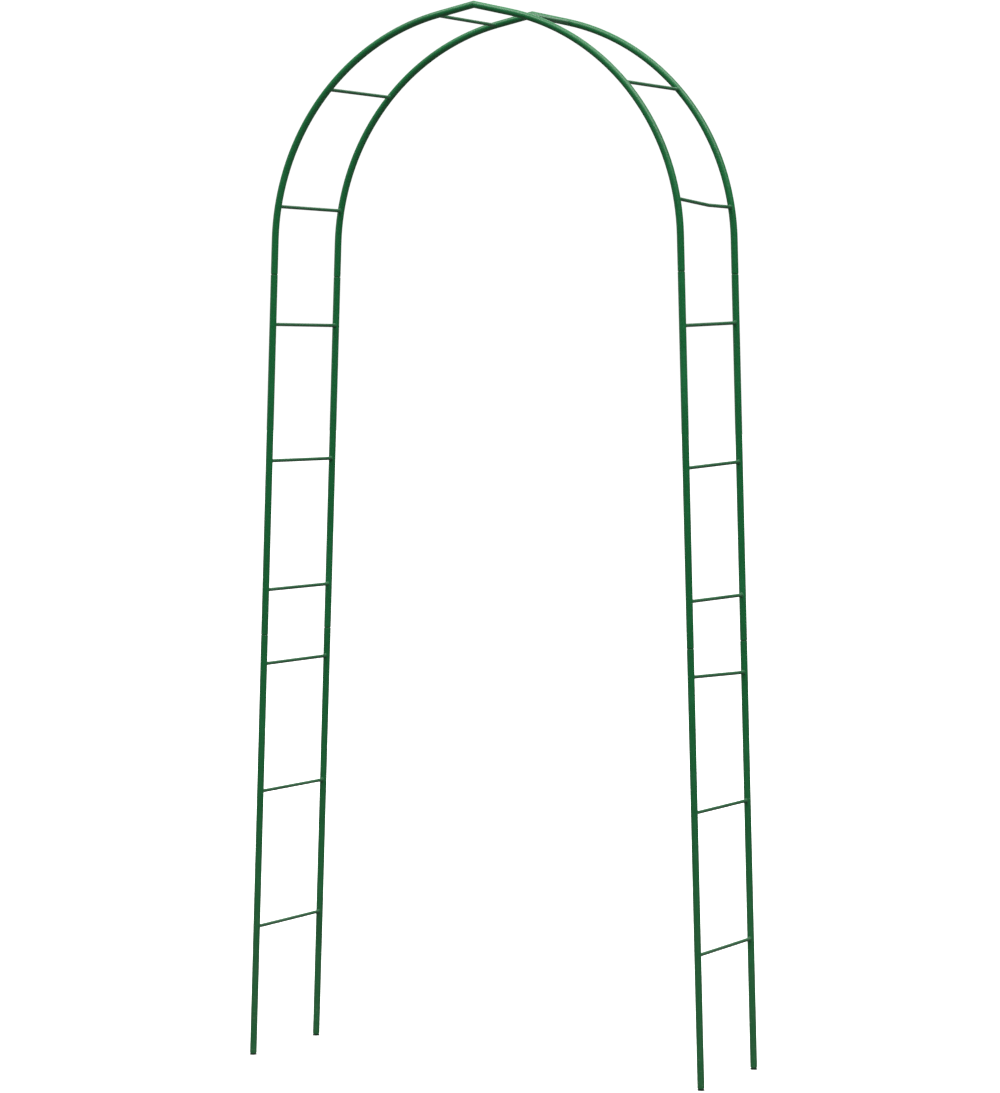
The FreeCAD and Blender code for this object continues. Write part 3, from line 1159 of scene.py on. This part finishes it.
@dataclass
class WeldBead:
    """The ring of weld that fixes a rung's end to a tube, painted over.

    Args:
        bar_radius: radius of the rung.
        tube_radius: radius of the tube.
        leg: leg length of the fillet.
        ripples: how many ripples the weld has on its way round.
        ripple_share: how much thinner the weld is between two ripples.
        wander: how far the bead wanders from its line.
    """

    bar_radius: float
    tube_radius: float
    leg: float = 0.00155
    ripples: int = 12
    ripple_share: float = 0.20
    wander: float = 0.0005

    STEPS_PER_RIPPLE: ClassVar[int] = 3
    LOPSIDED: ClassVar[float] = 0.10
    LOPSIDED_FROM: ClassVar[float] = 0.6
    LUMP: ClassVar[float] = 0.004

    @property
    def ring_radius(self) -> float:
        """Radius of the bead's middle line."""
        return self.bar_radius + 0.15 * self.leg

    def master(self) -> bpy.types.Object:
        """Model one bead round a bar that stands on a tube lying along X.

        Returns:
            The bead, with the tube's crown line at the origin.
        """
        deselect_all()
        segments = self.ripples * self.STEPS_PER_RIPPLE
        bpy.ops.mesh.primitive_torus_add(
            location=(0, 0, 0), major_segments=segments, minor_segments=8,
            major_radius=self.ring_radius, minor_radius=self.leg,
        )
        bead = bpy.context.object
        bead.name = "weld_master"
        step = math.tau / segments
        with edit_mode(bead) as mesh:
            for number in range(segments):
                self.shape_ring(mesh, number * step, step, number)
        apply_modifier(bead, "SUBSURF", levels=1, render_levels=1)
        bpy.ops.object.shade_smooth()
        return bead

    def shape_ring(
        self, mesh: bmesh.types.BMesh, turn: float, step: float, number: int
    ) -> None:
        """Thicken or thin one ring of the bead, and sink it onto the tube.

        Args:
            mesh: the bead in edit mode.
            turn: angle of the ring round the bar.
            step: angle from one ring to the next.
            number: which ring it is.
        """
        def on_ring(place: Vector) -> bool:
            """Whether a place lies on this ring."""
            away = math.atan2(place.y, place.x) - turn
            return abs(math.remainder(away, math.tau)) < step / 2

        pick_vertices(mesh, on_ring)
        middle = Vector((math.cos(turn), math.sin(turn), 0)) * self.ring_radius
        swell = 1.0 - self.ripple_share * (number % self.STEPS_PER_RIPPLE == 0)
        swell *= 1.0 + self.LOPSIDED * math.sin(2 * turn + self.LOPSIDED_FROM)
        bpy.ops.transform.resize(value=(swell, swell, swell), center_override=middle)
        across = self.bar_radius * math.sin(turn)
        sink = self.tube_radius - math.sqrt(self.tube_radius ** 2 - across ** 2)
        bpy.ops.transform.translate(value=(0, 0, -sink))

    def fit(self, master: bpy.types.Object, name: str, place: Matrix) -> bpy.types.Object:
        """Copy the bead to a rung's end and let its surface wander.

        Args:
            master: the bead at the origin.
            name: the new piece's name.
            place: where it goes.

        Returns:
            The new piece.
        """
        bead = own_copy(master, name)
        settle(bead, place)
        lumps = bpy.data.textures.get("weld_lumps")
        lumps = lumps or bpy.data.textures.new("weld_lumps", "CLOUDS")
        lumps.noise_scale = self.LUMP
        lumps.noise_depth = 1
        apply_modifier(
            bead, "DISPLACE", texture=lumps, texture_coords="GLOBAL", strength=self.wander,
            mid_level=0.5,
        )
        return bead


@dataclass
class FootPlug:
    """The plastic plug that closes the lower end of a leg.

    Args:
        head_radius: radius of the head, flush with the tube.
        head_height: height of the head below the tube's end.
        head_round: rounding of the head's lower edge.
        head_ease: rounding of the head's upper edge.
        stem_radius: radius of the ribs that grip the tube.
        groove: how much thinner the stem is between its ribs.
        stem_height: length of the stem inside the tube.
        wall: wall of the hollow stem.
        ribs: how many ribs it has.
        overlength: how far the head is made over length, before its sole is cut level.
    """

    head_radius: float
    head_height: float = 0.005
    head_round: float = 0.0022
    head_ease: float = 0.0003
    stem_radius: float = 0.00653
    groove: float = 0.0005
    stem_height: float = 0.022
    wall: float = 0.0019
    ribs: int = 4
    overlength: float = 0.0003

    SIDES: ClassVar[int] = 48
    SMOOTH_BELOW: ClassVar[float] = math.radians(32)
    DISH_RIM: ClassVar[float] = 0.0028
    DISH_SLOPE: ClassVar[float] = 0.0006
    DISH_DEPTH: ClassVar[float] = 0.0005

    def model(self, name: str, foot: Vector, lean: float) -> bpy.types.Object:
        """Model one plug in its leg.

        Args:
            name: the new piece's name.
            foot: where the leg's axis meets the ground.
            lean: turn of the leg about Y, from upright.

        Returns:
            The plug, with a level sole on the ground.
        """
        deselect_all()
        depth = self.head_height + self.overlength
        bpy.ops.mesh.primitive_cylinder_add(
            vertices=self.SIDES, radius=self.head_radius, depth=depth,
            location=(0, 0, depth / 2 - self.overlength),
        )
        plug = bpy.context.object
        plug.name = name
        plug.data.name = name
        with edit_mode(plug) as mesh:
            self.round_head(mesh)
            self.draw_stem(mesh)
            self.hollow_stem()
        settle(plug, Matrix.Translation(foot) @ Matrix.Rotation(lean, 4, "Y"))
        with edit_mode(plug) as mesh:
            bpy.ops.mesh.select_all(action="SELECT")
            bpy.ops.mesh.bisect(
                plane_co=(0, 0, 0), plane_no=(0, 0, -1), use_fill=True, clear_outer=True
            )
            self.dish_sole(mesh)
            bpy.ops.mesh.select_all(action="SELECT")
            bpy.ops.mesh.normals_make_consistent(inside=False)
        take_in_hand(plug)
        bpy.ops.object.shade_smooth_by_angle(angle=self.SMOOTH_BELOW)
        return plug

    def round_head(self, mesh: bmesh.types.BMesh) -> None:
        """Round the lower edge of the head, and ease its upper edge.

        Args:
            mesh: the plug in edit mode.
        """
        lower = (-self.overlength, self.head_round, 5)
        upper = (self.head_height, self.head_ease, 2)
        for level, width, parts in (lower, upper):
            for edge in mesh.edges:
                edge.select = all(abs(v.co.z - level) < NEAR for v in edge.verts)
            bpy.ops.mesh.bevel(offset=width, offset_type="OFFSET", segments=parts, profile=0.5)
            bpy.ops.mesh.select_all(action="DESELECT")

    def draw_stem(self, mesh: bmesh.types.BMesh) -> None:
        """Draw the ribbed stem up out of the head's upper face.

        Args:
            mesh: the plug in edit mode.
        """
        self.pick_cap(mesh)
        bpy.ops.mesh.inset(
            thickness=self.head_radius - self.head_ease - self.stem_radius, depth=0
        )
        rib = self.stem_height / (2 * self.ribs)
        ratio = 1.0 - self.groove / self.stem_radius
        for _ in range(self.ribs):
            self.extrude_up(rib)
            self.scale_ring(ratio)
            self.extrude_up(rib)
            self.scale_ring(1 / ratio)

    def hollow_stem(self) -> None:
        """Sink the hollow into the stem from its top."""
        bpy.ops.mesh.inset(thickness=self.wall, depth=0)
        self.extrude_up(-self.stem_height)
        bpy.ops.mesh.select_all(action="DESELECT")

    def dish_sole(self, mesh: bmesh.types.BMesh) -> None:
        """Press the moulding gate's shallow dish into the sole.

        Args:
            mesh: the plug in edit mode.
        """
        pick_faces(mesh, lambda f: f.normal.z < -FLAT and f.calc_center_median().z < NEAR)
        bpy.ops.mesh.inset(thickness=self.DISH_RIM, depth=0)
        bpy.ops.mesh.inset(thickness=self.DISH_SLOPE, depth=-self.DISH_DEPTH)
        bpy.ops.mesh.select_all(action="DESELECT")

    @staticmethod
    def pick_cap(mesh: bmesh.types.BMesh) -> None:
        """Select the flat cap that faces up.

        Args:
            mesh: the plug in edit mode.
        """
        flat = (face for face in mesh.faces if face.normal.z > FLAT)
        largest = max(flat, key=lambda face: face.calc_area())
        pick_faces(mesh, lambda face: face == largest)

    @staticmethod
    def extrude_up(height: float) -> None:
        """Extrude what is selected along Z."""
        bpy.ops.mesh.extrude_region_move(TRANSFORM_OT_translate={"value": (0, 0, height)})

    @staticmethod
    def scale_ring(ratio: float) -> None:
        """Widen or narrow what is selected about the plug's axis."""
        bpy.ops.transform.resize(value=(ratio, ratio, 1), center_override=(0, 0, 0))


@dataclass
class LadderSection:
    """One section of the arch: two tubes, three rungs and the welds between them.

    Args:
        side: which half of the arch.
        section: which section of that half.
        layout: lines and sizes of the arch.
    """

    side: Side
    section: Section
    layout: ArchLayout

    def dress(self) -> None:
        """Give the tubes and the rungs their coats."""
        coat = BEND_COAT if self.section is Section.ARCH else LEG_COAT
        for row in Row:
            paint(node_name(self.side, self.section, f"{row.word}_tube"), coat, self.layout)
        for number in range(1, RUNGS_PER_SECTION + 1):
            paint(node_name(self.side, self.section, f"rung_{number}"), RUNG_COAT, self.layout)

    def weld(self, bead: WeldBead, master: bpy.types.Object) -> None:
        """Weld both ends of every rung.

        Args:
            bead: how the beads are made.
            master: the bead that is copied.
        """
        for number in range(1, RUNGS_PER_SECTION + 1):
            rung = node_name(self.side, self.section, f"rung_{number}")
            ends = {row: bar_end(rung, row) for row in Row}
            bar = (ends[Row.BACK] - ends[Row.FRONT]).normalized()
            for row in Row:
                name = node_name(self.side, self.section, f"weld_{row.word}_{number}")
                piece = bead.fit(master, name, self.weld_place(ends[row], row, bar))
                finish_piece(
                    piece, WELD_COAT, self.layout, body_name(self.side, self.section)
                )

    def weld_place(self, end: Vector, row: Row, bar: Vector) -> Matrix:
        """Turn and place of a bead.

        Args:
            end: middle of the rung's end.
            row: which end of the rung it is.
            bar: direction of the rung, from front to back.

        Returns:
            A matrix whose X lies along the tube and whose Z points along the rung,
            away from the tube.
        """
        away = -row.value * bar
        tube = self.layout.tube_direction(self.side, self.section, end.x, end.z)
        across = away.cross(tube).normalized()
        tube = across.cross(away)
        crown = Vector((end.x, row.value * (self.layout.row_y - self.layout.tube_radius), end.z))
        turn = Matrix((tube, across, away)).transposed().to_4x4()
        return Matrix.Translation(crown) @ turn


def paint(node: str, finish: Finish, layout: ArchLayout) -> None:
    """Give a carried-over node a finish in every one of its material slots.

    Args:
        node: the node's name.
        finish: what it is made of.
        layout: the lines that patterns run along.
    """
    piece = frame["nodes"][node]
    material = finish.material(layout)
    if not piece.material_slots:
        piece.data.materials.append(material)
    for slot in piece.material_slots:
        slot.material = material
    log.info("%s: %s", node, finish.name)


def finish_piece(
    piece: bpy.types.Object, finish: Finish, layout: ArchLayout, body: str
) -> None:
    """Give a new piece its finish and let it ride on a body.

    Args:
        piece: the new piece.
        finish: what it is made of.
        layout: the lines that patterns run along.
        body: the body that it rides on.
    """
    piece.data.materials.clear()
    piece.data.materials.append(finish.material(layout))
    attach(piece, body)
    log.info("%s: %s, on %s", piece.name, finish.name, body)


@dataclass
class Feet:
    """The four plugs that the arch stands on.

    Args:
        layout: lines and sizes of the arch.
    """

    layout: ArchLayout

    def build(self) -> None:
        """Model the plugs and let them stand for the plain ones."""
        kind = FootPlug(head_radius=self.layout.tube_radius)
        for side in Side:
            for row in Row:
                foot = Vector((side.value * self.layout.foot_x, row.value * self.layout.row_y, 0))
                name = f"{side.word}_{row.word}_plug"
                piece = kind.model(name, foot, -side.value * self.layout.lean)
                body = body_name(side, Section.LOWER)
                finish_piece(piece, PLUG_PLASTIC, self.layout, body)
                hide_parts(f"{side.word}_{row.word}_foot_plug")


# --- studio -----------------------------------------------------------------------------

@dataclass(frozen=True)
class SoftBox:
    """A square soft light.

    Args:
        name: its name.
        place: where it hangs.
        aim: the point that it faces.
        size: its side.
        power: its power in watts.
    """

    name: str
    place: tuple[float, float, float]
    aim: tuple[float, float, float]
    size: float
    power: float

    def hang(self) -> None:
        """Add the light to the scene."""
        data = bpy.data.lights.new(self.name, "AREA")
        data.shape = "SQUARE"
        data.size = self.size
        data.energy = self.power
        light = bpy.data.objects.new(self.name, data)
        light.location = self.place
        light.rotation_mode = "QUATERNION"
        facing = Vector(self.aim) - Vector(self.place)
        light.rotation_quaternion = facing.to_track_quat("-Z", "Y")
        light.visible_camera = False
        bpy.context.scene.collection.objects.link(light)
        log.info("%s: %.0f W", self.name, self.power)


@dataclass(frozen=True)
class Studio:
    """A pale floor, pale air and soft light.

    Args:
        floor_side: side of the floor.
        floor_colour: the pale floor.
        bounce: the floor as the arch sees it.
        air: brightness of the air as the camera sees it.
        fill: brightness of the air as the arch sees it.
        boxes: the soft lights.
        sky: brightness of the air overhead as the arch sees it.
        near: radius of the floor that only the lights light.
        far: radius where the floor has become as bright as the air.
        near_glow: glow of the floor under the arch.
    """

    floor_side: float
    floor_colour: Colour
    bounce: Colour
    air: float
    fill: float
    boxes: tuple[SoftBox, ...]
    sky: float = 0.8
    near: float = 1.5
    far: float = 7.0
    near_glow: float = 0.30

    MOTTLES: ClassVar[float] = 3.0
    DULLER: ClassVar[float] = 0.98
    WHITE: ClassVar[Colour] = (1.0, 1.0, 1.0)

    def build(self) -> None:
        """Lay the floor, light the air and hang the lights."""
        self.lay_floor()
        self.light_air()
        for box in self.boxes:
            box.hang()
        bpy.context.scene.view_settings.view_transform = "Standard"

    def lay_floor(self) -> None:
        """Lay the floor under the feet."""
        deselect_all()
        bpy.ops.mesh.primitive_plane_add(size=self.floor_side, location=(0, 0, 0))
        floor = bpy.context.object
        floor.name = "floor"
        material = bpy.data.materials.new("pale_floor")
        material.use_nodes = True
        wiring = Wiring(material.node_tree)
        surface = wiring.add("ShaderNodeBsdfPrincipled")
        position = wiring.add("ShaderNodeTexCoord").outputs["Object"]
        seen = wiring.add("ShaderNodeLightPath").outputs["Is Camera Ray"]
        mottle = wiring.noise(position, self.MOTTLES, detail=5.0)
        duller = tuple(self.DULLER * c for c in self.floor_colour)
        pale = wiring.mix(wiring.fade(mottle, 0.3, 0.7), self.floor_colour, duller)
        wiring.feed(surface.inputs["Base Color"], wiring.mix(seen, self.bounce, pale))
        x, y, _ = wiring.split(position)
        away = wiring.math("SQRT", wiring.total(wiring.product(x, x), wiring.product(y, y)))
        glow = wiring.fade(away, self.near, self.far, low=self.near_glow, high=self.air)
        wiring.feed(surface.inputs["Emission Color"], self.WHITE)
        wiring.feed(surface.inputs["Emission Strength"], wiring.product(seen, glow))
        surface.inputs["Roughness"].default_value = 0.9
        surface.inputs["Specular IOR Level"].default_value = 0.1
        end = wiring.add("ShaderNodeOutputMaterial")
        wiring.feed(end.inputs["Surface"], surface.outputs["BSDF"])
        floor.data.materials.append(material)
        log.info("floor laid")

    def light_air(self) -> None:
        """Make the air pale to the camera and dimmer, from above, to the arch."""
        world = bpy.data.worlds.new("pale_air")
        bpy.context.scene.world = world
        world.use_nodes = True
        wiring = Wiring(world.node_tree)
        direction = wiring.add("ShaderNodeTexCoord").outputs["Generated"]
        height = wiring.split(direction)[2]
        glow = wiring.fade(height, 0.25, 0.95, low=self.fill, high=self.sky)
        seen = wiring.add("ShaderNodeLightPath").outputs["Is Camera Ray"]
        strength = wiring.total(
            wiring.product(seen, self.air),
            wiring.product(wiring.math("SUBTRACT", 1.0, seen), glow),
        )
        background = wiring.add("ShaderNodeBackground")
        wiring.feed(background.inputs["Color"], self.WHITE)
        wiring.feed(background.inputs["Strength"], strength)
        end = wiring.add("ShaderNodeOutputWorld")
        wiring.feed(end.inputs["Surface"], background.outputs["Background"])


@dataclass(frozen=True)
class Camera:
    """The camera on its stand.

    Args:
        place: where it stands.
        turn: turn to the left from looking along +Y, in degrees.
        dip: tilt below the horizon, in degrees.
        roll: roll to the left, in degrees.
        lens: focal length in millimetres, for a sensor 36 mm long.
    """

    place: tuple[float, float, float]
    turn: float
    dip: float
    roll: float
    lens: float

    def stand(self) -> None:
        """Add the camera and look through it."""
        data = bpy.data.cameras.new("camera")
        data.lens = self.lens
        data.clip_end = 200.0
        camera = bpy.data.objects.new("camera", data)
        aim = (
            Matrix.Rotation(math.radians(self.turn), 4, "Z")
            @ Matrix.Rotation(math.radians(-self.dip), 4, "X")
            @ Matrix.Rotation(math.radians(self.roll), 4, "Y")
            @ Matrix.Rotation(math.radians(90.0), 4, "X")
        )
        camera.matrix_world = Matrix.Translation(self.place) @ aim
        bpy.context.scene.collection.objects.link(camera)
        bpy.context.scene.camera = camera
        log.info("camera %.0f mm", self.lens)


CAMERA = Camera(place=(4.110, -8.759, 1.595), turn=25.168, dip=2.469, roll=-0.132, lens=140.43)

STUDIO = Studio(
    floor_side=160.0,
    floor_colour=(0.86, 0.86, 0.85),
    bounce=(0.16, 0.16, 0.155),
    air=1.05,
    fill=0.07,
    boxes=(
        SoftBox("key_box", (5.3, -2.4, 9.8), (0.0, 0.0, 1.3), 8.2, 1470.0),
        SoftBox("fill_box", (-3.1, -4.1, 10.1), (0.0, 0.0, 1.3), 6.0, 1050.0),
        SoftBox("side_box", (-7.0, -1.5, 2.6), (0.0, 0.0, 1.2), 3.4, 50.0),
        SoftBox("back_box", (-1.5, 7.0, 6.5), (0.0, 0.0, 1.2), 5.0, 160.0),
    ),
)


def main() -> None:
    """Build the looks of the arch, section by section, and then the studio."""
    logging.basicConfig(level=logging.INFO, format="%(name)s: %(message)s")
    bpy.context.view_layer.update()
    layout = ArchLayout.from_frame(frame["record"])
    CAMERA.stand()
    STUDIO.build()
    bead = WeldBead(layout.bar_radius, layout.tube_radius)
    master = bead.master()
    for side in Side:
        for section in Section:
            ladder = LadderSection(side, section, layout)
            ladder.dress()
            ladder.weld(bead, master)
    bpy.data.objects.remove(master)
    for row in Row:
        paint(f"{row.word}_apex_pin", PIN_ZINC, layout)
    Feet(layout).build()


if __name__ == "__main__":
    main()
